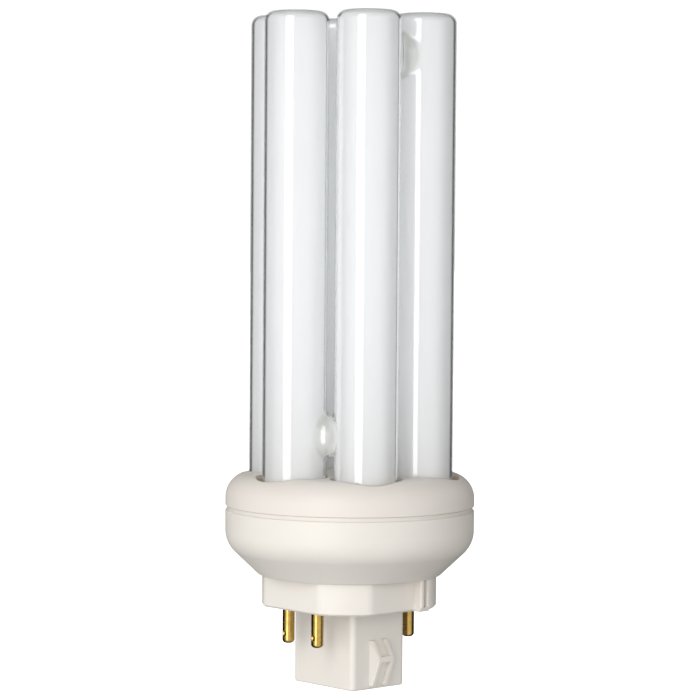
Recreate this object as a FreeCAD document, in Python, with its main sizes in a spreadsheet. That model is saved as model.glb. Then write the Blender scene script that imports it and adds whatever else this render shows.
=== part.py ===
import FreeCAD, Part
import math
import os

import Sketcher

# Compact fluorescent plug-in lamp. Six straight glass legs are bridged in turn into one folded
# discharge tube, which is cemented into a two-piece moulded cap with four pins and a keyed post.
# Millimetres. The origin is on the lamp's axis in the seat plane of the cap, with +Z towards the tubes.

# Driving sizes, in millimetres and degrees
SIZES = {
    # Glass: legs, bridges and the pressed seals at the two electrode ends
    "tube_dia": 12.5,
    "tube_gap": 2.0,
    "tube_length": 89.55,
    "tube_top_round": 1.9,
    "tube_foot_round": 3.0,
    "bridge_dia": 7.6,
    "bridge_flare": 1.05,
    "top_bridge_drop": 8.3,
    "low_bridge_rise": 8.05,
    "seal_width": 8.0,
    "seal_thickness": 2.4,
    "seal_length": 4.0,
    # Collar: the upper shell that the legs stand in
    "hole_outset": 0.6,
    "tube_clearance": 0.15,
    "tube_to_lip": 0.63,
    "collar_height": 6.45,
    "collar_round": 4.8,
    "plate_thickness": 1.6,
    "lip_wall": 1.4,
    "lip_depth": 2.5,
    "lip_fit": 0.1,
    "groove_depth": 0.35,
    "groove_height": 0.8,
    "groove_edge_round": 0.2,
    # Cement bed under the collar's plate
    "cement_depth": 5.0,
    "cement_rise": 0.5,
    # Housing: bowl, skirt and post in one moulding
    "shell_wall": 1.6,
    "bowl_side": 6.5,
    "bowl_round": 6.0,
    "cone_angle": 43.5,
    "foot_ledge": 0.8,
    "foot_round": 0.8,
    "skirt_height": 6.2,
    "skirt_corner": 1.95,
    "skirt_wall": 1.3,
    "skirt_side_round": 2.5,
    "skirt_edge": 0.35,
    "floor_thickness": 2.0,
    "post_width": 13.8,
    "post_depth": 17.55,
    "post_length": 15.5,
    "post_wall": 1.5,
    "post_side_round": 1.0,
    "post_end_round": 0.4,
    # Key ribs on the skirt
    "key_start": 3.35,
    "key_width": 2.5,
    "key_proud": 1.9,
    "key_bevel_height": 0.9,
    "key_bevel_depth": 0.5,
    "key_slot_start": 0.75,
    "key_slot_width": 0.88,
    "key_slot_depth": 0.8,
    "key_round": 0.3,
    # Latch marks on the post: two arrow bars joined at their points, with a ramp behind the first
    "latch_low": 0.7,
    "latch_point": 4.95,
    "latch_height": 8.9,
    "latch_back": 2.5,
    "latch_reach": 2.0,
    "latch_bar": 0.8,
    "latch_pitch": 3.2,
    "latch_web": 1.15,
    "latch_proud": 0.95,
    # Contact pins
    "pin_dia": 2.4,
    "pin_hole_fit": 0.05,
    "pin_row": 24.0,
    "pin_pitch": 8.5,
    "pin_length": 6.9,
    "pin_tip_round": 0.7,
    "pin_to_flat": 3.2,
    "pin_flange_dia": 3.2,
    "pin_flange": 0.6,
    "pin_head": 2.5,
    "pin_bore_depth": 3.5,
    "crimp_rise": 1.9,
    "crimp_radius": 0.7,
    "crimp_depth": 0.4,
    # Lead wires
    "wire_dia": 0.8,
    "wire_fit": 0.05,
    "wire_lift": 1.0,
    "wire_bend": 1.4,
    "wire_straight": 0.4,
    "wire_spread": 3.6,
}

TUBES = 6
TOP_BRIDGES = 3
SIDES = 2
FULL_TURN = 360.0
HALF_TURN = 180.0
QUARTER_TURN = 90.0
TUBE_STEP = FULL_TURN / TUBES
FLARE_SHARE = 0.4
TOUCH = 1e-4

doc = FreeCAD.newDocument("plug_in_lamp")
sheet = doc.addObject("Spreadsheet::Sheet", "Sizes")
for row, (name, value) in enumerate(SIZES.items(), 1):
    sheet.set(f"A{row}", name)
    sheet.set(f"B{row}", str(value))
    sheet.setAlias(f"B{row}", name)
doc.recompute()


class Dim:
    """A size: its value now, and the formula over the sheet's cells that it is bound by."""

    def __init__(self, value, formula):
        self.value = value
        self.formula = formula

    def __add__(self, other):
        return Dim(self.value + number(other), f"({self.formula} + {text(other)})")

    def __sub__(self, other):
        return Dim(self.value - number(other), f"({self.formula} - {text(other)})")

    def __mul__(self, other):
        return Dim(self.value * number(other), f"({self.formula} * {text(other)})")

    def __truediv__(self, other):
        return Dim(self.value / number(other), f"({self.formula} / {text(other)})")

    def __neg__(self):
        return Dim(-self.value, f"(-{self.formula})")


def number(size):
    return size.value if isinstance(size, Dim) else float(size)


def text(size):
    return size.formula if isinstance(size, Dim) else str(float(size))


def size(name):
    return Dim(float(sheet.get(name)), f"Sizes.{name}")


def sine(angle):
    return Dim(math.sin(math.radians(number(angle))), f"sin({text(angle)})")


def cosine(angle):
    return Dim(math.cos(math.radians(number(angle))), f"cos({text(angle)})")


def tangent(angle):
    return Dim(math.tan(math.radians(number(angle))), f"tan({text(angle)})")


def root(square):
    return Dim(math.sqrt(square.value), f"sqrt({square.formula})")


def smaller(first, second):
    return Dim(min(first.value, second.value), f"min({first.formula}; {second.formula})")


def bind(thing, name, dim):
    thing.setExpression(name, dim.formula)


# Bodies, sketches and features
def new_body(label):
    body = doc.addObject("PartDesign::Body", label)
    body.Label = label
    return body


def datum(body, role):
    return next(item for item in body.Origin.OriginFeatures if item.Role == role)


def new_sketch(body, name, plane, lift=None):
    """A sketch on one of the body's origin planes, lifted along the plane's normal."""
    sketch = body.newObject("Sketcher::SketchObject", name)
    sketch.AttachmentSupport = [(datum(body, plane), "")]
    sketch.MapMode = "FlatFace"
    if lift is not None:
        bind(sketch, "AttachmentOffset.Base.z", lift)
    return sketch


def hold(sketch, element, point, x, y):
    """Ties a point of the sketch to its origin; a plain 0 puts it on the axis."""
    for kind, distance, axis in (("DistanceX", x, -2), ("DistanceY", y, -1)):
        if isinstance(distance, Dim):
            rule = Sketcher.Constraint(kind, -1, 1, element, point, distance.value)
            index = sketch.addConstraint(rule)
            bind(sketch, f"Constraints[{index}]", distance)
        else:
            sketch.addConstraint(Sketcher.Constraint("PointOnObject", element, point, axis))


def hold_radius(sketch, element, radius):
    index = sketch.addConstraint(Sketcher.Constraint("Radius", element, radius.value))
    bind(sketch, f"Constraints[{index}]", radius)


def draw_circle(sketch, x, y, radius):
    centre = FreeCAD.Vector(number(x), number(y), 0)
    element = sketch.addGeometry(Part.Circle(centre, FreeCAD.Vector(0, 0, 1), radius.value))
    hold(sketch, element, 3, x, y)
    hold_radius(sketch, element, radius)


def left_arc(start, end, radius):
    """The short arc from start to end that turns left."""
    chord = end - start
    rise = math.sqrt(max(radius**2 - (chord.Length / 2) ** 2, 0))
    across = FreeCAD.Vector(-chord.y, chord.x, 0).normalize()
    centre = (start + end) / 2 + across * rise
    first = math.atan2(start.y - centre.y, start.x - centre.x)
    last = math.atan2(end.y - centre.y, end.x - centre.x)
    return Part.ArcOfCircle(Part.Circle(centre, FreeCAD.Vector(0, 0, 1), radius), first, last)


def draw_outline(sketch, corners):
    """A closed outline, counter-clockwise. A corner with a radius is reached by an arc, the rest by lines."""
    points = [FreeCAD.Vector(number(corner[0]), number(corner[1]), 0) for corner in corners]
    elements = []
    for index, corner in enumerate(corners):
        start, end = points[index - 1], points[index]
        if len(corner) > 2:
            element = sketch.addGeometry(left_arc(start, end, corner[2].value))
        else:
            element = sketch.addGeometry(Part.LineSegment(start, end))
        elements.append(element)
    for index, element in enumerate(elements):
        after = elements[(index + 1) % len(elements)]
        sketch.addConstraint(Sketcher.Constraint("Coincident", element, 2, after, 1))
    for element, corner in zip(elements, corners):
        hold(sketch, element, 2, corner[0], corner[1])
        if len(corner) > 2:
            hold_radius(sketch, element, corner[2])


def draw_box(sketch, x0, x1, y0, y1):
    draw_outline(sketch, [(x0, y0), (x1, y0), (x1, y1), (x0, y1)])


def extrude(body, kind, name, sketch, length, back=False, middle=False):
    feature = body.newObject(f"PartDesign::{kind}", name)
    feature.Profile = sketch
    feature.Reversed = back
    if middle:
        feature.SideType = "Symmetric"
    bind(feature, "Length", length)
    return feature


def turn_round(body, kind, name, sketch):
    """Turns the profile once round the sketch's upright axis."""
    feature = body.newObject(f"PartDesign::{kind}", name)
    feature.Profile = sketch
    feature.ReferenceAxis = (sketch, ["V_Axis"])
    feature.Angle = FULL_TURN
    return feature


def repeat_round(body, name, features, count):
    pattern = body.newObject("PartDesign::PolarPattern", name)
    pattern.Originals = features
    pattern.Axis = (datum(body, "Z_Axis"), [""])
    pattern.Angle = FULL_TURN
    pattern.Occurrences = count
    body.Tip = pattern
    return pattern


def mirror_across(body, name, features, plane):
    mirrored = body.newObject("PartDesign::Mirrored", name)
    mirrored.Originals = features
    mirrored.MirrorPlane = (datum(body, plane), [""])
    body.Tip = mirrored
    return mirrored


def dress_edges(body, kind, name, amount, wanted):
    """Fillets or chamfers the edges of the body that the test picks out."""
    doc.recompute()
    base = body.Tip
    edges = [f"Edge{i}" for i, edge in enumerate(base.Shape.Edges, 1) if wanted(edge)]
    feature = body.newObject(f"PartDesign::{kind}", name)
    feature.Base = (base, edges)
    bind(feature, "Radius" if kind == "Fillet" else "Size", amount)
    return feature


def lies_at(edge, height):
    box = edge.BoundBox
    return math.isclose(box.ZMin, height, abs_tol=TOUCH) and math.isclose(box.ZMax, height, abs_tol=TOUCH)


# Places worked out from the driving sizes
tube_radius = size("tube_dia") / 2
tube_ring = size("tube_dia") + size("tube_gap")
hole_ring = tube_ring + size("hole_outset")
hole_radius = tube_radius + size("hole_outset") + size("tube_clearance")
lip_inside = tube_ring + tube_radius + size("tube_to_lip")
lip_outside = lip_inside + size("lip_wall")
bowl_inside = lip_outside + size("lip_fit")
bowl_radius = bowl_inside + size("shell_wall")
skirt_flat = size("pin_row") / 2 + size("pin_to_flat")
skirt_radius = skirt_flat + size("skirt_corner")
foot_radius = skirt_radius + size("foot_ledge")
cone_slope = tangent(size("cone_angle"))
bowl_corner = size("skirt_height") + (bowl_radius - foot_radius) * cone_slope
rim = bowl_corner + size("bowl_side")
collar_edge = rim + size("groove_height")
collar_top = collar_edge + size("collar_height")
plate_under = collar_top - size("plate_thickness")
tube_top = collar_top + size("tube_length")
pin_top = size("floor_thickness") + size("pin_head")
bore_end = pin_top - size("pin_bore_depth")
bowl_floor = size("skirt_height") + size("shell_wall")
wire_run = bowl_floor + size("wire_lift")
seal_end = wire_run + size("wire_bend") + size("wire_straight")
tube_foot = seal_end + size("seal_length")
inner_round = size("collar_round") - size("plate_thickness")


def make_discharge_tube():
    """Six legs round a hexagon. The open side, between the two electrode legs, faces the body's own +X."""
    body = new_body("discharge_tube")
    half_step = TUBE_STEP / 2
    sketch = new_sketch(body, "leg_section", "XY_Plane", tube_foot)
    draw_circle(sketch, tube_ring * cosine(half_step), tube_ring * sine(half_step), tube_radius)
    leg = extrude(body, "Pad", "leg", sketch, tube_top - tube_foot)
    repeat_round(body, "legs", [leg], TUBES)

    bridge_line = -(tube_ring * cosine(half_step))
    top_bridge_height = tube_top - size("top_bridge_drop")
    low_bridge_height = collar_top + size("low_bridge_rise")
    sketch = new_sketch(body, "top_bridge_section", "XZ_Plane")
    draw_circle(sketch, bridge_line, top_bridge_height, size("bridge_dia") / 2)
    top_bridge = extrude(body, "Pad", "top_bridge", sketch, tube_ring, middle=True)
    repeat_round(body, "top_bridges", [top_bridge], TOP_BRIDGES)
    sketch = new_sketch(body, "low_bridge_section", "XZ_Plane")
    sketch.AttachmentOffset = FreeCAD.Placement(
        FreeCAD.Vector(), FreeCAD.Rotation(FreeCAD.Vector(0, 1, 0), -TUBE_STEP)
    )
    draw_circle(sketch, bridge_line, low_bridge_height, size("bridge_dia") / 2)
    low_bridge = extrude(body, "Pad", "low_bridge", sketch, tube_ring, middle=True)
    mirror_across(body, "low_bridges", [low_bridge], "XZ_Plane")

    dress_edges(body, "Fillet", "top_rims", size("tube_top_round"), lambda edge: lies_at(edge, tube_top.value))
    dress_edges(body, "Fillet", "foot_rims", size("tube_foot_round"), lambda edge: lies_at(edge, tube_foot.value))
    flare = smaller(size("bridge_flare"), size("tube_gap") * FLARE_SHARE)

    def joins_bridge(edge):
        middle = edge.BoundBox.Center.z
        heights = (top_bridge_height.value, low_bridge_height.value)
        near = any(abs(middle - height) < size("bridge_dia").value for height in heights)
        return near and edge.Curve.TypeId not in ("Part::GeomLine", "Part::GeomCircle")

    dress_edges(body, "Fillet", "bridge_flares", flare, joins_bridge)

    sketch = new_sketch(body, "seal_section", "XY_Plane", seal_end)
    sketch.AttachmentOffset = FreeCAD.Placement(
        FreeCAD.Vector(), FreeCAD.Rotation(FreeCAD.Vector(0, 0, 1), half_step)
    )
    half_seal = size("seal_thickness") / 2
    half_width = size("seal_width") / 2
    draw_box(sketch, tube_ring - half_seal, tube_ring + half_seal, -half_width, half_width)
    seal = extrude(body, "Pad", "seal", sketch, size("seal_length") + size("tube_foot_round"))
    mirror_across(body, "seals", [seal], "XZ_Plane")
    body.Placement.Rotation = FreeCAD.Rotation(FreeCAD.Vector(0, 0, 1), QUARTER_TURN)
    return body


def make_top_collar():
    """The upper shell: a plate with six holes, a rounded shoulder, and a lip that plugs into the housing."""
    body = new_body("top_collar")
    lip_end = rim - size("lip_depth")
    groove_floor = bowl_radius - size("groove_depth")
    edge_round = size("groove_edge_round")
    sketch = new_sketch(body, "collar_section", "XZ_Plane")
    draw_outline(
        sketch,
        [
            (0, plate_under),
            (lip_inside - inner_round, plate_under),
            (lip_inside, plate_under - inner_round),
            (lip_inside, lip_end),
            (lip_outside, lip_end),
            (lip_outside, rim),
            (groove_floor, rim),
            (groove_floor, collar_edge),
            (bowl_radius - edge_round, collar_edge),
            (bowl_radius, collar_edge + edge_round, edge_round),
            (bowl_radius, collar_top - size("collar_round")),
            (bowl_radius - size("collar_round"), collar_top, size("collar_round")),
            (0, collar_top),
        ],
    )
    turn_round(body, "Revolution", "shell", sketch)
    sketch = new_sketch(body, "hole_section", "XY_Plane", collar_top)
    draw_circle(sketch, hole_ring, 0, hole_radius)
    hole = extrude(body, "Pocket", "tube_hole", sketch, size("collar_round"))
    repeat_round(body, "tube_holes", [hole], TUBES)
    return body


def make_fixing_cement():
    """The bed that fills the collar under its plate, and stands in the holes round the legs."""
    body = new_body("fixing_cement")
    bed_floor = plate_under - size("cement_depth")
    sketch = new_sketch(body, "bed_section", "XZ_Plane")
    draw_outline(
        sketch,
        [
            (0, bed_floor),
            (lip_inside, bed_floor),
            (lip_inside, plate_under - inner_round),
            (lip_inside - inner_round, plate_under),
            (0, plate_under),
        ],
    )
    turn_round(body, "Revolution", "bed", sketch)
    plug_floor = collar_top - size("collar_round")
    sketch = new_sketch(body, "plug_section", "XY_Plane", plug_floor)
    draw_circle(sketch, hole_ring, 0, hole_radius)
    plug = extrude(body, "Pad", "plug", sketch, plate_under + size("cement_rise") - plug_floor)
    repeat_round(body, "plugs", [plug], TUBES)
    sketch = new_sketch(body, "socket_section", "XY_Plane", bed_floor)
    draw_circle(sketch, tube_ring, 0, tube_radius)
    depth = size("cement_depth") + size("plate_thickness")
    socket = extrude(body, "Pocket", "socket", sketch, depth, back=True)
    repeat_round(body, "sockets", [socket], TUBES)
    return body


def draw_skirt(sketch, radius, flat):
    """A circle with four flats, as a closed outline of lines and arcs."""
    half = root(radius * radius - flat * flat)
    draw_outline(
        sketch,
        [
            (flat, -half, radius),
            (flat, half),
            (half, flat, radius),
            (-half, flat),
            (-flat, half, radius),
            (-flat, -half),
            (-half, -flat, radius),
            (half, -flat),
        ],
    )


def draw_post(sketch, corner):
    """The post's rectangle with rounded corners."""
    x = size("post_width") / 2
    y = size("post_depth") / 2
    draw_outline(
        sketch,
        [
            (x, -y + corner, corner),
            (x, y - corner),
            (x - corner, y, corner),
            (-x + corner, y),
            (-x, y - corner, corner),
            (-x, -y + corner),
            (-x + corner, -y, corner),
            (x - corner, -y),
        ],
    )


def add_latch_marks(body):
    """The arrow marks on the post's -Y side; returns their features."""
    face = size("post_depth") / 2
    proud = size("latch_proud")
    low = size("latch_low") - size("post_length")
    point = low + size("latch_point")
    high = low + size("latch_height")
    back = -size("latch_back")
    tip = back + size("latch_reach") + size("latch_bar")

    sketch = new_sketch(body, "ramp_outline", "XZ_Plane", face)
    inner_tip = tip - size("latch_bar")
    draw_outline(sketch, [(back, low), (inner_tip, point), (back, high)])
    ramp = extrude(body, "Pad", "ramp", sketch, proud)
    sketch = new_sketch(body, "ramp_slope", "XY_Plane", low)
    draw_outline(sketch, [(back, -face), (back, -face - proud), (inner_tip, -face - proud)])
    slope = extrude(body, "Pocket", "ramp_face", sketch, size("latch_height"), back=True)

    sketch = new_sketch(body, "arrow_bars", "XZ_Plane", face)
    for bar_back in (back, back + size("latch_pitch")):
        bar_tip = bar_back + size("latch_reach")
        draw_outline(
            sketch,
            [
                (bar_back, low),
                (bar_back + size("latch_bar"), low),
                (bar_tip + size("latch_bar"), point),
                (bar_back + size("latch_bar"), high),
                (bar_back, high),
                (bar_tip, point),
            ],
        )
    bars = extrude(body, "Pad", "bars", sketch, proud)
    sketch = new_sketch(body, "web_outline", "XZ_Plane", face)
    half_web = size("latch_web") / 2
    draw_box(sketch, inner_tip, inner_tip + size("latch_pitch"), point - half_web, point + half_web)
    web = extrude(body, "Pad", "web", sketch, proud)
    return [ramp, slope, bars, web]


def add_key(body):
    """The slotted key rib on the skirt's -Y flat; returns its features."""
    root_line = -(skirt_flat - size("skirt_wall") / 2)
    face = -(skirt_flat + size("key_proud"))
    sketch = new_sketch(body, "key_side", "YZ_Plane", size("key_start"))
    draw_outline(
        sketch,
        [
            (root_line, size("skirt_height")),
            (face, size("skirt_height")),
            (face, size("key_bevel_height")),
            (face + size("key_bevel_depth"), 0),
            (root_line, 0),
        ],
    )
    key = extrude(body, "Pad", "key", sketch, size("key_width"))
    sketch = new_sketch(body, "key_slot_section", "XY_Plane", size("key_bevel_height"))
    slot_start = size("key_start") + size("key_slot_start")
    draw_box(sketch, slot_start, slot_start + size("key_slot_width"), face, face + size("key_slot_depth"))
    depth = size("skirt_height") - size("key_bevel_height")
    slot = extrude(body, "Pocket", "key_slot", sketch, depth, back=True)
    return [key, slot]


def hollow_housing(body):
    """Cuts the bowl, the skirt and the post hollow, leaving a floor for the pins and a closed post end."""
    wall = size("shell_wall")
    angle = size("cone_angle")
    cone_inset = wall / sine(angle)
    inner_floor_radius = foot_radius + wall / cone_slope - cone_inset
    inner_corner = size("skirt_height") + (bowl_inside - foot_radius + cone_inset) * cone_slope
    inner_bowl_round = size("bowl_round") - wall
    reach = inner_bowl_round * tangent(angle / 2)
    sketch = new_sketch(body, "bowl_hollow_section", "XZ_Plane")
    draw_outline(
        sketch,
        [
            (0, bowl_floor),
            (inner_floor_radius, bowl_floor),
            (bowl_inside - reach * cosine(angle), inner_corner - reach * sine(angle)),
            (bowl_inside, inner_corner + reach, inner_bowl_round),
            (bowl_inside, rim),
            (0, rim),
        ],
    )
    turn_round(body, "Groove", "bowl_hollow", sketch)
    sketch = new_sketch(body, "skirt_hollow_section", "XY_Plane", size("floor_thickness"))
    draw_skirt(sketch, skirt_radius - size("skirt_wall"), skirt_flat - size("skirt_wall"))
    extrude(body, "Pocket", "skirt_hollow", sketch, bowl_floor - size("floor_thickness"), back=True)
    post_floor = size("post_wall") - size("post_length")
    sketch = new_sketch(body, "post_hollow_section", "XY_Plane", post_floor)
    half_x = size("post_width") / 2 - size("post_wall")
    half_y = size("post_depth") / 2 - size("post_wall")
    draw_box(sketch, -half_x, half_x, -half_y, half_y)
    extrude(body, "Pocket", "post_hollow", sketch, size("floor_thickness") - post_floor, back=True)


def make_base_housing():
    """One moulding: the flatted skirt, the bowl above it and the keyed post below."""
    body = new_body("base_housing")
    sketch = new_sketch(body, "skirt_section", "XY_Plane")
    draw_skirt(sketch, skirt_radius, skirt_flat)
    extrude(body, "Pad", "skirt", sketch, size("skirt_height"))
    upright = size("skirt_height").value
    dress_edges(
        body,
        "Fillet",
        "skirt_sides",
        size("skirt_side_round"),
        lambda edge: math.isclose(edge.BoundBox.ZLength, upright, abs_tol=TOUCH),
    )
    dress_edges(body, "Chamfer", "skirt_edge", size("skirt_edge"), lambda edge: lies_at(edge, 0))

    angle = size("cone_angle")
    reach = size("bowl_round") * tangent(angle / 2)
    edge_round = size("groove_edge_round")
    foot_reach = size("foot_round") * tangent(angle / 2)
    foot_top = size("skirt_height") + foot_reach * sine(angle)
    sketch = new_sketch(body, "bowl_section", "XZ_Plane")
    draw_outline(
        sketch,
        [
            (0, size("skirt_height")),
            (foot_radius - foot_reach, size("skirt_height")),
            (foot_radius + foot_reach * cosine(angle), foot_top, size("foot_round")),
            (bowl_radius - reach * cosine(angle), bowl_corner - reach * sine(angle)),
            (bowl_radius, bowl_corner + reach, size("bowl_round")),
            (bowl_radius, rim - edge_round),
            (bowl_radius - edge_round, rim, edge_round),
            (0, rim),
        ],
    )
    turn_round(body, "Revolution", "bowl", sketch)
    post_end = -size("post_length")
    sketch = new_sketch(body, "post_section", "XY_Plane", post_end)
    draw_post(sketch, size("post_side_round"))
    extrude(body, "Pad", "post", sketch, size("post_length"))
    dress_edges(body, "Fillet", "post_end", size("post_end_round"), lambda edge: lies_at(edge, post_end.value))

    features = add_latch_marks(body) + add_key(body)
    repeat_round(body, "both_sides", features, SIDES)
    key_face = (skirt_flat + size("key_proud")).value
    key_sides = (size("key_start").value, (size("key_start") + size("key_width")).value)

    def edges_key(edge):
        box = edge.BoundBox
        upright = math.isclose(box.ZLength, edge.Length, abs_tol=TOUCH)
        on_face = abs(abs(box.Center.y) - key_face) < TOUCH
        return upright and on_face and any(abs(abs(box.Center.x) - side) < TOUCH for side in key_sides)

    dress_edges(body, "Fillet", "key_edges", size("key_round"), edges_key)
    hollow_housing(body)
    sketch = new_sketch(body, "pin_hole_sections", "XY_Plane")
    for x, y in pin_places():
        draw_circle(sketch, x, y, size("pin_dia") / 2)
    extrude(body, "Pocket", "pin_holes", sketch, size("floor_thickness"), back=True)
    return body


def pin_places():
    """The four pin axes, in order round the cap, starting with the row on the -X side."""
    x = size("pin_row") / 2
    y = size("pin_pitch") / 2
    return [(-x, y), (-x, -y), (x, -y), (x, y)]


def make_contact_pin(label, x, y):
    """A turned pin: a shank through the floor, a flange resting on it, a bored head, two crimps near its tip."""
    body = new_body(label)
    radius = size("pin_dia") / 2
    shank = radius - size("pin_hole_fit")
    bore = size("wire_dia") / 2 + size("wire_fit")
    flange_top = size("floor_thickness") + size("pin_flange")
    tip = -size("pin_length")
    sketch = new_sketch(body, "pin_section", "XZ_Plane")
    draw_outline(
        sketch,
        [
            (0, tip),
            (radius - size("pin_tip_round"), tip),
            (radius, tip + size("pin_tip_round"), size("pin_tip_round")),
            (radius, 0),
            (shank, 0),
            (shank, size("floor_thickness")),
            (size("pin_flange_dia") / 2, size("floor_thickness")),
            (size("pin_flange_dia") / 2, flange_top),
            (shank, flange_top),
            (shank, pin_top),
            (bore, pin_top),
            (bore, bore_end),
            (0, bore_end),
        ],
    )
    turn_round(body, "Revolution", "turned_pin", sketch)
    for side in (-1, 1):
        dimple = body.newObject("PartDesign::SubtractiveSphere", "crimp")
        bind(dimple, "Radius", size("crimp_radius"))
        bind(dimple, "Placement.Base.x", (radius - size("crimp_depth") + size("crimp_radius")) * side)
        bind(dimple, "Placement.Base.z", tip + size("crimp_rise"))
    bind(body, "Placement.Base.x", x)
    bind(body, "Placement.Base.y", y)
    return body


def rounded_path(points, bend):
    """A wire of straight runs joined by tangent arcs of one radius."""
    edges = []
    start = points[0]
    for before, corner, after in zip(points, points[1:], points[2:]):
        into = (before - corner).normalize()
        out = (after - corner).normalize()
        half = into.getAngle(out) / 2
        reach = bend / math.tan(half)
        bisector = (into + out).normalize()
        middle = corner + bisector * (bend / math.sin(half) - bend)
        arc_start = corner + into * reach
        arc_end = corner + out * reach
        edges.append(Part.LineSegment(start, arc_start).toShape())
        edges.append(Part.Arc(arc_start, middle, arc_end).toShape())
        start = arc_end
    edges.append(Part.LineSegment(start, points[-1]).toShape())
    return Part.Wire(edges)


def make_lead_wire(label, exit_x, exit_y, pin_x, pin_y):
    """A bare lead from the end of a seal, across to a pin and down into its bore."""
    run = wire_run.value
    points = [
        FreeCAD.Vector(exit_x, exit_y, seal_end.value),
        FreeCAD.Vector(exit_x, exit_y, run),
        FreeCAD.Vector(pin_x.value, pin_y.value, run),
        FreeCAD.Vector(pin_x.value, pin_y.value, bore_end.value),
    ]
    path = rounded_path(points, size("wire_bend").value)
    radius = size("wire_dia").value / 2
    section = Part.Wire(Part.makeCircle(radius, points[0], FreeCAD.Vector(0, 0, -1)))
    solid = path.makePipeShell([section], True, True)
    expected = math.pi * radius**2 * path.Length
    if not math.isclose(solid.Volume, expected, rel_tol=0.02):
        raise ValueError(f"{label}: volume {solid.Volume:.2f} is not its section times its length, {expected:.2f}")
    wire = doc.addObject("Part::Feature", label)
    wire.Label = label
    wire.Shape = solid
    wire.Placement = FreeCAD.Placement()
    return wire


def lead_exits():
    """Where the leads leave the two seals, in the order of the pins that they run to."""
    ring = tube_ring.value
    spread = size("wire_spread").value / 2
    middle = math.radians(QUARTER_TURN)
    half_step = math.radians(TUBE_STEP / 2)
    exits = []
    for leg, sides in ((middle + half_step, (1, -1)), (middle - half_step, (1, -1))):
        for side in sides:
            x = ring * math.cos(leg) - side * spread * math.sin(leg)
            y = ring * math.sin(leg) + side * spread * math.cos(leg)
            exits.append((x, y))
    return exits


sub_parts = [make_discharge_tube(), make_top_collar(), make_fixing_cement(), make_base_housing()]
for index, (pin, lead) in enumerate(zip(pin_places(), lead_exits()), 1):
    sub_parts.append(make_contact_pin(f"contact_pin_{index}", *pin))
    sub_parts.append(make_lead_wire(f"lead_wire_{index}", *lead, *pin))
doc.recompute()

for item in doc.Objects:
    if "Invalid" in item.State or "Error" in item.State:
        raise RuntimeError(f"{item.Label} did not rebuild: {item.State}")
for part in sub_parts:
    if part.Shape.isNull() or not part.Shape.isValid():
        raise RuntimeError(f"{part.Label} has no valid shape")

os.makedirs("parts", exist_ok=True)
for part in sub_parts:
    part.Shape.exportStep(f"parts/{part.Label}.step")
    print(f"{part.Label}: {len(part.Shape.Solids)} solid, {part.Shape.Volume:.1f} mm3")
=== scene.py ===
import math

import bmesh
import bpy
import numpy as np
from mathutils import Matrix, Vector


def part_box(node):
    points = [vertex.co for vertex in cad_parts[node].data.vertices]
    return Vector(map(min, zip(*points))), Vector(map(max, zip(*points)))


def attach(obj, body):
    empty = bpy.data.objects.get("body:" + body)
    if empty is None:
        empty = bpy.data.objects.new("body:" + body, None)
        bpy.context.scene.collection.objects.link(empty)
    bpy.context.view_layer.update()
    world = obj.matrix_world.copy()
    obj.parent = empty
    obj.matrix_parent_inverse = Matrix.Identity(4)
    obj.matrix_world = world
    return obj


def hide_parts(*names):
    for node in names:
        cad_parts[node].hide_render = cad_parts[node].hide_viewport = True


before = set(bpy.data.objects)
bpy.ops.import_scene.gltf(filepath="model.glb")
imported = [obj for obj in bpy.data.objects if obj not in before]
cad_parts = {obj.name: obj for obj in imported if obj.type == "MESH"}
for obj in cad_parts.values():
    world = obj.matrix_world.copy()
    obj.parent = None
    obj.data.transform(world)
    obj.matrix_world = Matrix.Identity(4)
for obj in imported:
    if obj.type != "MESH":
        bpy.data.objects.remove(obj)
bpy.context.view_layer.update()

# Base housing
# The lower shell of the cap: bowl, flatted skirt, key ribs and locking post in one moulding.
# Ivory thermoplastic with a satin tool finish, shot in one piece and snapped onto the collar's lip.
MM = 0.001
HOUSING_PALE = (0.778, 0.742, 0.688)
HOUSING_WARM = (0.756, 0.718, 0.662)
EDGE_SOFTENING = 0.18 * MM
GRAIN_DEPTH = 0.02 * MM
GLOW_DEPTH = 0.8 * MM


def new_finish(name):
    """An empty node material with its shader, ready for a finish to be built on it."""
    finish = bpy.data.materials.new(name)
    finish.use_nodes = True
    tree = finish.node_tree
    return finish, tree, tree.nodes["Principled BSDF"]


def add_node(tree, kind, settings=None, **inputs):
    """A node with its settings and socket values; a socket given as an input becomes a link."""
    node = tree.nodes.new(kind)
    for name, value in (settings or {}).items():
        setattr(node, name, value)
    for name, value in inputs.items():
        socket = node.inputs[name.replace("_", " ")]
        if isinstance(value, bpy.types.NodeSocket):
            tree.links.new(value, socket)
        else:
            socket.default_value = value
    return node


def mottle(tree, scale, detail=3.0, roughness=0.5):
    """Soft noise over the piece's own coordinates; scale is in repeats per metre."""
    place = add_node(tree, "ShaderNodeTexCoord").outputs["Object"]
    noise = add_node(
        tree, "ShaderNodeTexNoise", Vector=place, Scale=scale, Detail=detail, Roughness=roughness
    )
    return noise.outputs["Fac"]


def span(tree, value, low, high, start=0.3, end=0.7):
    """A value that runs from low to high while the given one runs from start to end."""
    node = add_node(tree, "ShaderNodeMapRange", Value=value)
    node.inputs["From Min"].default_value = start
    node.inputs["From Max"].default_value = end
    node.inputs["To Min"].default_value = low
    node.inputs["To Max"].default_value = high
    return node.outputs["Result"]


def tint(tree, value, first, second):
    """A colour between two shades."""
    ramp = add_node(tree, "ShaderNodeValToRGB", Fac=value)
    ramp.color_ramp.elements[0].color = (*first, 1)
    ramp.color_ramp.elements[1].color = (*second, 1)
    return ramp.outputs["Color"]


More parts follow.
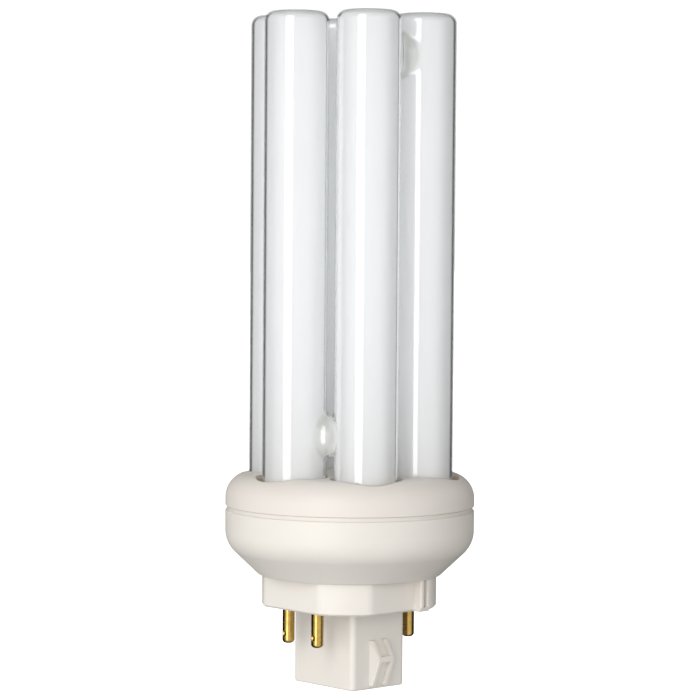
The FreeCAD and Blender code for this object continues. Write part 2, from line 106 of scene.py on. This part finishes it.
def moulded_ivory(name, pale, warm):
    """Satin ivory plastic: faint flow clouds in the colour, a fine sparked tool grain, softened edges."""
    finish, tree, shader = new_finish(name)
    clouds = span(tree, mottle(tree, scale=55, detail=4, roughness=0.55), low=0, high=1)
    tree.links.new(tint(tree, clouds, pale, warm), shader.inputs["Base Color"])
    sheen = span(tree, mottle(tree, scale=140), low=0.34, high=0.46)
    tree.links.new(sheen, shader.inputs["Roughness"])
    edge = add_node(tree, "ShaderNodeBevel", {"samples": 6}, Radius=EDGE_SOFTENING)
    grain = add_node(
        tree, "ShaderNodeBump", Strength=0.12, Distance=GRAIN_DEPTH, Height=mottle(tree, scale=5200, detail=2)
    )
    tree.links.new(edge.outputs["Normal"], grain.inputs["Normal"])
    tree.links.new(grain.outputs["Normal"], shader.inputs["Normal"])
    shader.inputs["IOR"].default_value = 1.5
    shader.inputs["Specular IOR Level"].default_value = 0.4
    shader.inputs["Subsurface Weight"].default_value = 0.12
    shader.inputs["Subsurface Radius"].default_value = (1.0, 0.8, 0.6)
    shader.inputs["Subsurface Scale"].default_value = GLOW_DEPTH
    return finish


def dress(node, finish):
    """Gives a construction piece its finish; its shape stays as packed."""
    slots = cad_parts[node].data.materials
    slots.clear()
    slots.append(finish)


dress("base_housing", moulded_ivory("ivory_housing", HOUSING_PALE, HOUSING_WARM))

# Contact pins
# Four turned brass pins in two rows, pushed through the housing's floor and crimped near their tips.
# Bright brass with fine turning rings, a little duller in patches.
PIN_COUNT = 4
BRASS_BRIGHT = (0.45, 0.30, 0.09)
BRASS_DULL = (0.33, 0.205, 0.052)
TURNING_DEPTH = 0.01 * MM


def turned_brass(name):
    """Bright brass: tarnish in patches, uneven polish, and rings round the pin from the lathe."""
    finish, tree, shader = new_finish(name)
    patches = span(tree, mottle(tree, scale=900, detail=4, roughness=0.6), 0, 1, start=0.35, end=0.75)
    tree.links.new(tint(tree, patches, BRASS_BRIGHT, BRASS_DULL), shader.inputs["Base Color"])
    polish = span(tree, mottle(tree, scale=2600), low=0.12, high=0.28)
    tree.links.new(polish, shader.inputs["Roughness"])
    place = add_node(tree, "ShaderNodeTexCoord").outputs["Object"]
    rings = add_node(
        tree, "ShaderNodeTexWave", {"bands_direction": "Z"}, Vector=place, Scale=1400, Distortion=0.6
    )
    bump = add_node(
        tree, "ShaderNodeBump", Strength=0.15, Distance=TURNING_DEPTH, Height=rings.outputs["Fac"]
    )
    tree.links.new(bump.outputs["Normal"], shader.inputs["Normal"])
    shader.inputs["Metallic"].default_value = 1.0
    return finish


pin_brass = turned_brass("pin_brass")
for number in range(1, PIN_COUNT + 1):
    dress(f"contact_pin_{number}", pin_brass)

# Lead wires
# Two bare nickel-iron leads from each sealed leg end, bent across the bowl and soldered into the pins.
# They are shut inside the cap.
WIRE_CLEAN = (0.52, 0.50, 0.48)
WIRE_STAINED = (0.36, 0.33, 0.31)


def drawn_wire(name):
    """Bare drawn metal, stained here and there by the heat of sealing."""
    finish, tree, shader = new_finish(name)
    stain = span(tree, mottle(tree, scale=1500), low=0, high=1)
    tree.links.new(tint(tree, stain, WIRE_CLEAN, WIRE_STAINED), shader.inputs["Base Color"])
    polish = span(tree, mottle(tree, scale=4000, detail=2), low=0.25, high=0.42)
    tree.links.new(polish, shader.inputs["Roughness"])
    shader.inputs["Metallic"].default_value = 1.0
    return finish


lead_metal = drawn_wire("lead_metal")
for number in range(1, PIN_COUNT + 1):
    dress(f"lead_wire_{number}", lead_metal)

# Fixing cement
# The bed that holds the six legs in the collar, baked hard. It shows in the crescents beside the legs.
# Golden brown and gritty, with a dull gloss where it wetted the glass.
CEMENT_DARK = (0.26, 0.17, 0.045)
CEMENT_PALE = (0.60, 0.43, 0.16)
GRIT_DEPTH = 0.25 * MM


def baked_cement(name):
    """Brown cement: the grit shows in its colour and its surface, and its gloss comes in patches."""
    finish, tree, shader = new_finish(name)
    grit = mottle(tree, scale=1300, detail=6, roughness=0.65)
    shade = tint(tree, span(tree, grit, low=0, high=1), CEMENT_DARK, CEMENT_PALE)
    tree.links.new(shade, shader.inputs["Base Color"])
    gloss = span(tree, mottle(tree, scale=600, detail=2), low=0.22, high=0.5)
    tree.links.new(gloss, shader.inputs["Roughness"])
    bump = add_node(tree, "ShaderNodeBump", Strength=0.8, Distance=GRIT_DEPTH, Height=grit)
    tree.links.new(bump.outputs["Normal"], shader.inputs["Normal"])
    return finish


dress("fixing_cement", baked_cement("baked_cement"))

# Top collar
# The upper shell of the cap, with a round hole for each leg and a rounded shoulder.
# Ivory plastic from another tool than the housing's; its lip plugs into the housing at the parting groove.
COLLAR_PALE = (0.752, 0.71, 0.66)
COLLAR_WARM = (0.732, 0.687, 0.636)
dress("top_collar", moulded_ivory("ivory_collar", COLLAR_PALE, COLLAR_WARM))

# Discharge tube
# One glass tube folded into six legs: closed ends, and short blown bridges that join the legs in turn.
# Clear glass, coated white inside, so it is glossy outside and chalky under the gloss.
LEG_RADIUS = 6.25 * MM
LEG_RING = 14.5 * MM
LEG_FOOT = 14.6 * MM
LEG_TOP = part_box("discharge_tube")[1].z
TOP_ROUND = 1.9 * MM
FOOT_ROUND = 3.0 * MM
TOP_BRIDGE = LEG_TOP - 8.3 * MM
LOW_BRIDGE = 34.2 * MM
SEAL_THICK, SEAL_WIDE, SEAL_TALL = 2.4 * MM, 8.0 * MM, 4.0 * MM
SEAL_OVERLAP = 1.0 * MM
SEALED_LEGS = (math.radians(60), math.radians(120))
COLUMNS = 96
COLUMN = 2 * math.pi / COLUMNS
MOUTH_COLUMNS = 15
MOUTH_ROWS = 22
MOUTH_WIDE = MOUTH_COLUMNS * COLUMN * LEG_RADIUS
MOUTH_TALL = 5.8 * MM
MOUTH_RINGS = 4
FLARE_REACH = 4.9 * MM
FLARE_RISE = 5.05 * MM
NECK_WIDE = 3.25 * MM
NECK_TALL = 4.05 * MM
FLARE_STEPS = 12
FOOT_STEPS = 6
TOP_STEPS = 12
LONGEST_ROW = 5 * MM
HALF_STEP = math.radians(30)
TURN_STEP = math.radians(120)
PAIR = [(LEG_RING * math.cos(HALF_STEP), side * LEG_RING * math.sin(HALF_STEP)) for side in (-1, 1)]
TOWARDS_PARTNER = (math.radians(90), math.radians(-90))
AWAY_FROM_PARTNER = (math.radians(-150), math.radians(150))
WELD = 0.003 * MM
SLIVER = 0.001 * MM
POWDER = (0.968, 0.975, 0.98)
POWDER_STREAK = (0.948, 0.955, 0.96)
BRIDGE_POWDER = (0.80, 0.81, 0.78, 1)
BRIDGE_FADE = 0.25 * MM
# Painted shade: the grey of the band round each leg's top end, then that band's height and its fade.
TOP_PAINTED_SHADE = (0.72, 0.73, 0.73, 1)
END_BAND = 1.15 * MM
END_FADE = 0.45 * MM
STREAKS = (420, 420, 18)
RIPPLE_DEPTH = 0.2 * MM
GLASS_IOR = 1.52
LIGHT_THROUGH = 0.47
WALL_TINT = (0.95, 0.96, 0.97, 1)
RIM_TINT = (0.97, 0.98, 0.98, 1)


class Surface:
    """Collects the points and faces of one mesh."""

    def __init__(self):
        self.points = []
        self.faces = []

    def sheet(self, rows, skip=None):
        """Joins equal rows of points with quads, except where skip(row, column) says so."""
        start, wide = len(self.points), len(rows[0])
        for row in rows:
            self.points.extend(row)
        for i in range(len(rows) - 1):
            for j in range(wide - 1):
                if skip is None or not skip(i, j):
                    corner = start + i * wide + j
                    self.faces.append((corner, corner + 1, corner + 1 + wide, corner + wide))

    def cap(self, ring):
        """Closes a ring of points with one face."""
        start = len(self.points)
        self.points.extend(ring)
        self.faces.append(tuple(range(start, start + len(ring))))

    def object(self, name):
        """The finished mesh as an object in the scene."""
        mesh = bpy.data.meshes.new(name)
        mesh.from_pydata([tuple(point) for point in self.points], [], self.faces)
        piece = bpy.data.objects.new(name, mesh)
        bpy.context.scene.collection.objects.link(piece)
        return piece


def on_leg(centre, direction, across, height):
    """A point on a leg's wall: across is the arc length round it from the given direction."""
    angle = direction + across / LEG_RADIUS
    return (centre[0] + LEG_RADIUS * math.cos(angle), centre[1] + LEG_RADIUS * math.sin(angle), height)


def mouth_frame():
    """The square frame round a bridge's mouth, as arc length and height, anticlockwise and closed."""
    across = np.linspace(-MOUTH_WIDE, MOUTH_WIDE, 2 * MOUTH_COLUMNS + 1)
    up = np.linspace(-MOUTH_TALL, MOUTH_TALL, MOUTH_ROWS + 1)
    frame_points = [(u, -MOUTH_TALL) for u in across[:-1]] + [(MOUTH_WIDE, v) for v in up[:-1]]
    frame_points += [(u, MOUTH_TALL) for u in across[:0:-1]] + [(-MOUTH_WIDE, v) for v in up[:0:-1]]
    return frame_points + frame_points[:1]


MOUTH_FRAME = mouth_frame()
MOUTH_ANGLES = [math.atan2(v / MOUTH_TALL, u / MOUTH_WIDE) for u, v in MOUTH_FRAME]


def mouth_rim(angle):
    """Where the flare runs out on the leg, as arc length and height from the bridge's axis."""
    return FLARE_REACH * math.cos(angle), FLARE_RISE * math.sin(angle)


def add_mouth(surface, centre, direction, height):
    """The leg's wall between the square frame and the rim of the mouth."""
    rows = []
    for share in np.linspace(0, 1, MOUTH_RINGS + 1):
        row = []
        for (u, v), angle in zip(MOUTH_FRAME, MOUTH_ANGLES):
            rim_u, rim_v = mouth_rim(angle)
            across, up = rim_u + (u - rim_u) * share, rim_v + (v - rim_v) * share
            row.append(on_leg(centre, direction, across, height + up))
        rows.append(row)
    surface.sheet(rows)


def add_closed_mouth(surface, centre, direction, height):
    """Plain wall in a mouth that no bridge uses."""
    rims = [mouth_rim(angle) for angle in MOUTH_ANGLES]
    rows = []
    for share in np.linspace(0, 1, 2 * MOUTH_RINGS + 1):
        rows.append([on_leg(centre, direction, u * share, height + v * share) for u, v in rims])
    surface.sheet(rows)


def add_bridge(surface, height):
    """A blown neck between a pair's legs, waisted in the middle and running out flush with both walls."""
    middle, half = PAIR[0][0], PAIR[1][1]
    across = np.array((0, 1, 0))
    rows = []
    for angle in MOUTH_ANGLES:
        u, v = mouth_rim(angle)
        turn = u / LEG_RADIUS
        wall = np.array((LEG_RADIUS * math.sin(turn), half - LEG_RADIUS * math.cos(turn), v))
        inwards = -np.array((u * math.cos(turn), u * math.sin(turn), v)) / math.hypot(u, v)
        waist = np.array((NECK_WIDE * math.cos(angle), 0, NECK_TALL * math.sin(angle)))
        bend = math.acos(-inwards @ across)
        pull = np.linalg.norm(waist - wall) * math.tan(bend / 4) / (1.5 * math.sin(bend / 2))
        guides = (wall, wall + pull * inwards, waist + pull * across, waist)
        profile = []
        for t in np.linspace(0, 1, FLARE_STEPS + 1):
            shares = ((1 - t) ** 3, 3 * t * (1 - t) ** 2, 3 * t**2 * (1 - t), t**3)
            profile.append(sum(share * guide for share, guide in zip(shares, guides)))
        profile += [point * np.array((1, -1, 1)) for point in reversed(profile[:-1])]
        rows.append([(middle + x, y, height + z) for x, y, z in profile])
    surface.sheet(rows)


def leg_profile():
    """Radius and height of a leg's outline from foot to top, with rows to suit both mouths."""
    rungs = {LEG_FOOT + FOOT_ROUND, LEG_TOP - TOP_ROUND}
    for height in (TOP_BRIDGE, LOW_BRIDGE):
        rungs.update(height + v for v in np.linspace(-MOUTH_TALL, MOUTH_TALL, MOUTH_ROWS + 1))
    rungs = sorted(rungs)
    for low, high in list(zip(rungs, rungs[1:])):
        rungs += list(np.linspace(low, high, 2 + int((high - low) / LONGEST_ROW))[1:-1])
    foot = [
        (LEG_RADIUS - FOOT_ROUND * (1 - math.sin(turn)), LEG_FOOT + FOOT_ROUND * (1 - math.cos(turn)))
        for turn in np.linspace(0, math.pi / 2, FOOT_STEPS + 1)
    ]
    top = [
        (LEG_RADIUS - TOP_ROUND * (1 - math.cos(turn)), LEG_TOP - TOP_ROUND * (1 - math.sin(turn)))
        for turn in np.linspace(0, math.pi / 2, TOP_STEPS + 1)
    ]
    wall = [(LEG_RADIUS, height) for height in sorted(rungs)[1:-1]]
    flat = [(share * (LEG_RADIUS - TOP_ROUND), LEG_TOP) for share in (0.66, 0.33)]
    return foot + wall + top + flat


def add_leg(surface, centre, mouths):
    """One leg with round closed ends; its wall is left open at the mouths, given as direction and height."""
    base = mouths[0][0]
    profile = leg_profile()
    turns = [base + j * COLUMN for j in range(COLUMNS + 1)]
    rows = []
    for radius, height in profile:
        ring = [(radius * math.cos(turn), radius * math.sin(turn)) for turn in turns]
        rows.append([(centre[0] + x, centre[1] + y, height) for x, y in ring])

    def in_mouth(i, j):
        middle = (profile[i][1] + profile[i + 1][1]) / 2
        for direction, height in mouths:
            offset = (j - round((direction - base) / COLUMN) + COLUMNS // 2) % COLUMNS - COLUMNS // 2
            if abs(middle - height) < MOUTH_TALL and -MOUTH_COLUMNS <= offset < MOUTH_COLUMNS:
                return True
        return False

    surface.sheet(rows, in_mouth)
    surface.cap(rows[0][:-1])
    surface.cap(rows[-1][:-1])
    for direction, height in mouths:
        add_mouth(surface, centre, direction, height)


def repeat_tree():
    """Geometry nodes that set copies of a piece round the lamp's axis at even steps."""
    tree = bpy.data.node_groups.new("set_round_axis", "GeometryNodeTree")
    tree.interface.new_socket("Geometry", in_out="INPUT", socket_type="NodeSocketGeometry")
    tree.interface.new_socket("Copies", in_out="INPUT", socket_type="NodeSocketInt")
    tree.interface.new_socket("First Turn", in_out="INPUT", socket_type="NodeSocketFloat")
    tree.interface.new_socket("Turn Step", in_out="INPUT", socket_type="NodeSocketFloat")
    tree.interface.new_socket("Finish", in_out="INPUT", socket_type="NodeSocketMaterial")
    tree.interface.new_socket("Geometry", in_out="OUTPUT", socket_type="NodeSocketGeometry")
    given = tree.nodes.new("NodeGroupInput").outputs
    points = add_node(tree, "GeometryNodePoints", Count=given["Copies"])
    index = tree.nodes.new("GeometryNodeInputIndex").outputs["Index"]
    turn = add_node(tree, "ShaderNodeMath", {"operation": "MULTIPLY_ADD"})
    for socket, value in zip(turn.inputs, (index, given["Turn Step"], given["First Turn"])):
        tree.links.new(value, socket)
    spin = add_node(tree, "FunctionNodeAxisAngleToRotation", Axis=(0, 0, 1), Angle=turn.outputs["Value"])
    copies = add_node(
        tree, "GeometryNodeInstanceOnPoints",
        Points=points.outputs["Points"], Instance=given["Geometry"], Rotation=spin.outputs["Rotation"],
    )
    solid = add_node(tree, "GeometryNodeRealizeInstances", Geometry=copies.outputs["Instances"])
    dressed = add_node(
        tree, "GeometryNodeSetMaterial", Geometry=solid.outputs["Geometry"], Material=given["Finish"]
    )
    tree.links.new(dressed.outputs["Geometry"], tree.nodes.new("NodeGroupOutput").inputs["Geometry"])
    return tree


SET_ROUND_AXIS = repeat_tree()


def set_round_axis(piece, copies, first_turn, finish):
    """Replaces the piece's mesh by copies of it round the axis, as one plain mesh."""
    modifier = piece.modifiers.new("copies", "NODES")
    modifier.node_group = SET_ROUND_AXIS
    values = {"Copies": copies, "First Turn": first_turn, "Turn Step": TURN_STEP, "Finish": finish}
    for socket in SET_ROUND_AXIS.interface.items_tree:
        if socket.in_out == "INPUT" and socket.name in values:
            modifier[socket.identifier] = values[socket.name]
    ready = piece.evaluated_get(bpy.context.evaluated_depsgraph_get())
    mesh = bpy.data.meshes.new_from_object(ready)
    piece.modifiers.clear()
    piece.data = mesh


def blend_colour(tree, share, first, second):
    """The first colour where share is 0 and the second, a plain one, where it is 1."""
    mix = add_node(tree, "ShaderNodeMix", {"data_type": "RGBA"})
    tree.links.new(share, mix.inputs["Factor"])
    tree.links.new(first, mix.inputs["A"])
    mix.inputs["B"].default_value = second
    return mix.outputs["Result"]


def blend_shader(tree, share, first, second):
    """The first shader where share is 0 and the second where it is 1."""
    mix = add_node(tree, "ShaderNodeMixShader", Fac=share)
    tree.links.new(first, mix.inputs[1])
    tree.links.new(second, mix.inputs[2])
    return mix.outputs["Shader"]


def coated_glass(name):
    """White powder under clear glass: chalky and a little see-through, bright gloss, mirror-like edge-on."""
    finish, tree, shader = new_finish(name)
    place = add_node(tree, "ShaderNodeTexCoord").outputs["Object"]
    drawn_out = add_node(tree, "ShaderNodeMapping", Vector=place, Scale=STREAKS).outputs["Vector"]
    streaks = add_node(tree, "ShaderNodeTexNoise", Vector=drawn_out, Scale=1.0, Detail=3.0).outputs["Fac"]
    powder = tint(tree, span(tree, streaks, low=0, high=1), POWDER, POWDER_STREAK)
    on_bridge = add_node(tree, "ShaderNodeAttribute", {"attribute_name": "thin_coat"}).outputs["Fac"]
    on_top_shade_band = add_node(tree, "ShaderNodeAttribute", {"attribute_name": "top_painted_shade"}).outputs["Fac"]
    coat = blend_colour(tree, on_bridge, powder, BRIDGE_POWDER)
    # Painted shade: a grey band round the top end of each leg.
    coat = blend_colour(tree, on_top_shade_band, coat, TOP_PAINTED_SHADE)
    tree.links.new(coat, shader.inputs["Base Color"])
    polish = span(tree, mottle(tree, scale=60, detail=2), low=0.03, high=0.06)
    tree.links.new(polish, shader.inputs["Roughness"])
    ripple = add_node(
        tree, "ShaderNodeBump", Strength=0.05, Distance=RIPPLE_DEPTH, Height=mottle(tree, scale=45, detail=1)
    )
    tree.links.new(ripple.outputs["Normal"], shader.inputs["Normal"])
    shader.inputs["IOR"].default_value = GLASS_IOR
    shader.inputs["Coat Weight"].default_value = 1.0
    shader.inputs["Coat Roughness"].default_value = 0.02
    shader.inputs["Coat IOR"].default_value = GLASS_IOR
    glow = add_node(tree, "ShaderNodeBsdfTranslucent", Color=coat)
    chalk = blend_shader(tree, LIGHT_THROUGH, shader.outputs["BSDF"], glow.outputs["BSDF"])

    # Seen edge-on, the clear wall shows outside the powder: first as a mirror, then see-through.
    # The thick glass of the sealed ends shows less of it, over the same top band that carries the painted
    # shade.
    facing = add_node(tree, "ShaderNodeLayerWeight", Blend=0.5).outputs["Facing"]
    wall_share = add_node(tree, "ShaderNodeMath", {"operation": "MULTIPLY"})
    tree.links.new(span(tree, facing, low=0.05, high=0.75, start=0.53, end=0.62), wall_share.inputs[0])
    tree.links.new(span(tree, on_top_shade_band, low=1, high=0.25, start=0, end=1), wall_share.inputs[1])
    mirror = add_node(tree, "ShaderNodeBsdfGlossy", Color=WALL_TINT, Roughness=0.04)
    walled = blend_shader(tree, wall_share.outputs["Value"], chalk, mirror.outputs["BSDF"])
    rim_share = span(tree, facing, low=0, high=0.65, start=0.66, end=0.82)
    clear = add_node(tree, "ShaderNodeBsdfTransparent", Color=RIM_TINT)
    rimmed = blend_shader(tree, rim_share, walled, clear.outputs["BSDF"])
    tree.links.new(rimmed, tree.nodes["Material Output"].inputs["Surface"])
    return finish


tube_finish = coated_glass("coated_glass")
pair_shape, bridge_shape, wall_shape = Surface(), Surface(), Surface()
for centre, partner, away in zip(PAIR, TOWARDS_PARTNER, AWAY_FROM_PARTNER):
    add_leg(pair_shape, centre, ((partner, TOP_BRIDGE), (away, LOW_BRIDGE)))
    add_closed_mouth(wall_shape, centre, partner, LOW_BRIDGE)
add_bridge(pair_shape, TOP_BRIDGE)
add_bridge(bridge_shape, LOW_BRIDGE)
tube = pair_shape.object("glass_tube")
low_bridges = bridge_shape.object("low_bridges")
closed_walls = wall_shape.object("closed_walls")
set_round_axis(tube, 3, HALF_STEP, tube_finish)
set_round_axis(low_bridges, 2, HALF_STEP + math.pi, tube_finish)
set_round_axis(closed_walls, 1, math.radians(90), tube_finish)

# The copies are welded into one skin, and the two pressed seals are set under the electrode legs.
skin = bmesh.new()
for piece in (tube, low_bridges, closed_walls):
    skin.from_mesh(piece.data)
bmesh.ops.remove_doubles(skin, verts=skin.verts, dist=WELD)
bmesh.ops.dissolve_degenerate(skin, edges=skin.edges, dist=SLIVER)
bmesh.ops.recalc_face_normals(skin, faces=skin.faces)
for turn in SEALED_LEGS:
    seal = bmesh.ops.create_cube(skin, size=1.0)["verts"]
    lift = Matrix.Translation((LEG_RING, 0, LEG_FOOT + (SEAL_OVERLAP - SEAL_TALL) / 2))
    shape = Matrix.Diagonal((SEAL_THICK, SEAL_WIDE, SEAL_TALL + SEAL_OVERLAP, 1))
    bmesh.ops.transform(skin, matrix=Matrix.Rotation(turn, 4, "Z") @ lift @ shape, verts=seal)
skin.to_mesh(tube.data)
skin.free()
tube.data.shade_smooth()
for spare in (low_bridges, closed_walls):
    bpy.data.objects.remove(spare)

# The powder is thin where the bridges were blown. Round each leg's top end, a grey band is painted shade for
# the dark ceiling seen in the gloss and the weaker light from above.
corners = np.empty(len(tube.data.vertices) * 3)
tube.data.vertices.foreach_get("co", corners)
corners = corners.reshape(-1, 3)
leg_turns = np.arange(6) * 2 * HALF_STEP
off_axis = np.min(
    np.hypot(corners[:, :1] - LEG_RING * np.cos(leg_turns), corners[:, 1:2] - LEG_RING * np.sin(leg_turns)),
    axis=1,
)
thin_coat = tube.data.attributes.new("thin_coat", "FLOAT", "POINT")
thin_coat.data.foreach_set("value", np.clip((off_axis - LEG_RADIUS) / BRIDGE_FADE, 0, 1))
# Mask for the painted shade: the band at the top end of each leg.
top_painted_shade = tube.data.attributes.new("top_painted_shade", "FLOAT", "POINT")
top_painted_shade.data.foreach_set("value", np.clip((corners[:, 2] - LEG_TOP + END_BAND) / END_FADE, 0, 1))
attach(tube, "root")
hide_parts("discharge_tube")

# Studio
# A white sweep in a pale room, brighter on the left, with a tall strip of light on that side.
# Softer boxes stand in front, on the right and low on the left; only the strip shows in the gloss.
FLOOR_HALF = 3.0
VIEW_AZIMUTH = math.radians(-42.0)
AIM_HEIGHT = 0.05
ROOM_WHITE = (1.0, 0.995, 0.99, 1)
ROOM_BRIGHT_SIDE = (-0.95, 0, 0.05)
WHITE = (1, 1, 1, 1)

post_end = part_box("base_housing")[0].z
floor_corners = [(-1, -1), (1, -1), (1, 1), (-1, 1)]
floor_mesh = bpy.data.meshes.new("floor")
floor_mesh.from_pydata(
    [(FLOOR_HALF * x, FLOOR_HALF * y, post_end) for x, y in floor_corners], [], [(0, 1, 2, 3)]
)
floor = bpy.data.objects.new("floor", floor_mesh)
bpy.context.scene.collection.objects.link(floor)
paper, _, paper_shader = new_finish("white_paper")
paper_shader.inputs["Base Color"].default_value = (0.9, 0.9, 0.9, 1)
paper_shader.inputs["Roughness"].default_value = 0.9
paper_shader.inputs["Emission Color"].default_value = WHITE
paper_shader.inputs["Emission Strength"].default_value = 0.9
floor_mesh.materials.append(paper)
floor.visible_diffuse = False
floor.visible_glossy = False

# The room lights the lamp from all sides; in its gloss the front of the room is bright and the back dark.
world = bpy.data.worlds.new("studio")
bpy.context.scene.world = world
world.use_nodes = True
room = world.node_tree
heading = add_node(room, "ShaderNodeTexCoord").outputs["Generated"]
turned = add_node(room, "ShaderNodeMapping", Vector=heading, Rotation=(0, 0, -VIEW_AZIMUTH)).outputs["Vector"]
bright_side = add_node(room, "ShaderNodeVectorMath", {"operation": "DOT_PRODUCT"})
room.links.new(turned, bright_side.inputs[0])
bright_side.inputs[1].default_value = ROOM_BRIGHT_SIDE
walls = room.nodes["Background"]
walls.inputs["Color"].default_value = ROOM_WHITE
wall_light = span(room, bright_side.outputs["Value"], low=0.29, high=0.71, start=-1, end=1)
room.links.new(wall_light, walls.inputs["Strength"])
reach = add_node(room, "ShaderNodeSeparateXYZ", Vector=turned).outputs
mirrored_light = add_node(room, "ShaderNodeMath", {"operation": "MULTIPLY"})
room.links.new(span(room, reach["Y"], low=1.4, high=0.02, start=-0.65, end=0), mirrored_light.inputs[0])
room.links.new(span(room, reach["Z"], low=1, high=0.1, start=0.3, end=0.5), mirrored_light.inputs[1])
in_gloss = add_node(
    room, "ShaderNodeBackground", Color=WHITE, Strength=mirrored_light.outputs["Value"]
)
backdrop = add_node(room, "ShaderNodeBackground", Color=WHITE, Strength=1.05)
path = add_node(room, "ShaderNodeLightPath").outputs
lit = blend_shader(room, path["Is Glossy Ray"], walls.outputs["Background"], in_gloss.outputs["Background"])
seen = blend_shader(room, path["Is Camera Ray"], lit, backdrop.outputs["Background"])
room.links.new(seen, room.nodes["World Output"].inputs["Surface"])


def add_soft_box(name, azimuth, elevation, distance, wide, tall, power):
    """A rectangular light aimed at the lamp, unseen in its gloss; azimuth from the camera, left negative."""
    lamp = bpy.data.lights.new(name, "AREA")
    lamp.shape = "RECTANGLE"
    lamp.size = wide
    lamp.size_y = tall
    lamp.energy = power
    box = bpy.data.objects.new(name, lamp)
    bpy.context.scene.collection.objects.link(box)
    turn = VIEW_AZIMUTH + math.radians(azimuth)
    rise = math.radians(elevation)
    box.location = (
        distance * math.sin(turn) * math.cos(rise),
        -distance * math.cos(turn) * math.cos(rise),
        distance * math.sin(rise) + AIM_HEIGHT,
    )
    box.rotation_euler = (math.pi / 2 - rise, 0, turn)
    box.visible_glossy = False
    return box


strip = add_soft_box("strip_light", azimuth=-26, elevation=6, distance=1.0, wide=0.48, tall=1.6, power=8.0)
strip.visible_glossy = True
add_soft_box("front_light", azimuth=10, elevation=6, distance=1.5, wide=1.0, tall=1.0, power=4.1)
add_soft_box("right_light", azimuth=58, elevation=2, distance=1.2, wide=1.2, tall=1.4, power=3.9)
add_soft_box("low_light", azimuth=-68, elevation=-8, distance=1.2, wide=1.0, tall=0.8, power=4.6)

# Camera
# A long lens a little above the middle of the lamp, tipped down slightly and turned to the post's corner.
EYE_AZIMUTH = math.radians(-42.018)
EYE_DISTANCE = 0.553159
EYE_HEIGHT = 0.076649
EYE_PITCH = math.radians(2.736)
EYE_ROLL = math.radians(0.429)
LENS = 145.09
SENSOR = 36.0

view = bpy.data.cameras.new("photo_view")
view.lens = LENS
view.sensor_width = SENSOR
view.sensor_fit = "HORIZONTAL"
camera = bpy.data.objects.new("photo_view", view)
bpy.context.scene.collection.objects.link(camera)
camera.location = (EYE_DISTANCE * math.sin(EYE_AZIMUTH), -EYE_DISTANCE * math.cos(EYE_AZIMUTH), EYE_HEIGHT)
aim = Matrix.Rotation(VIEW_AZIMUTH, 4, "Z") @ Matrix.Rotation(math.pi / 2 - EYE_PITCH, 4, "X")
aim = aim @ Matrix.Rotation(EYE_ROLL, 4, "Z")
camera.rotation_euler = aim.to_euler()
bpy.context.scene.camera = camera
bpy.context.scene.view_settings.view_transform = "Standard"
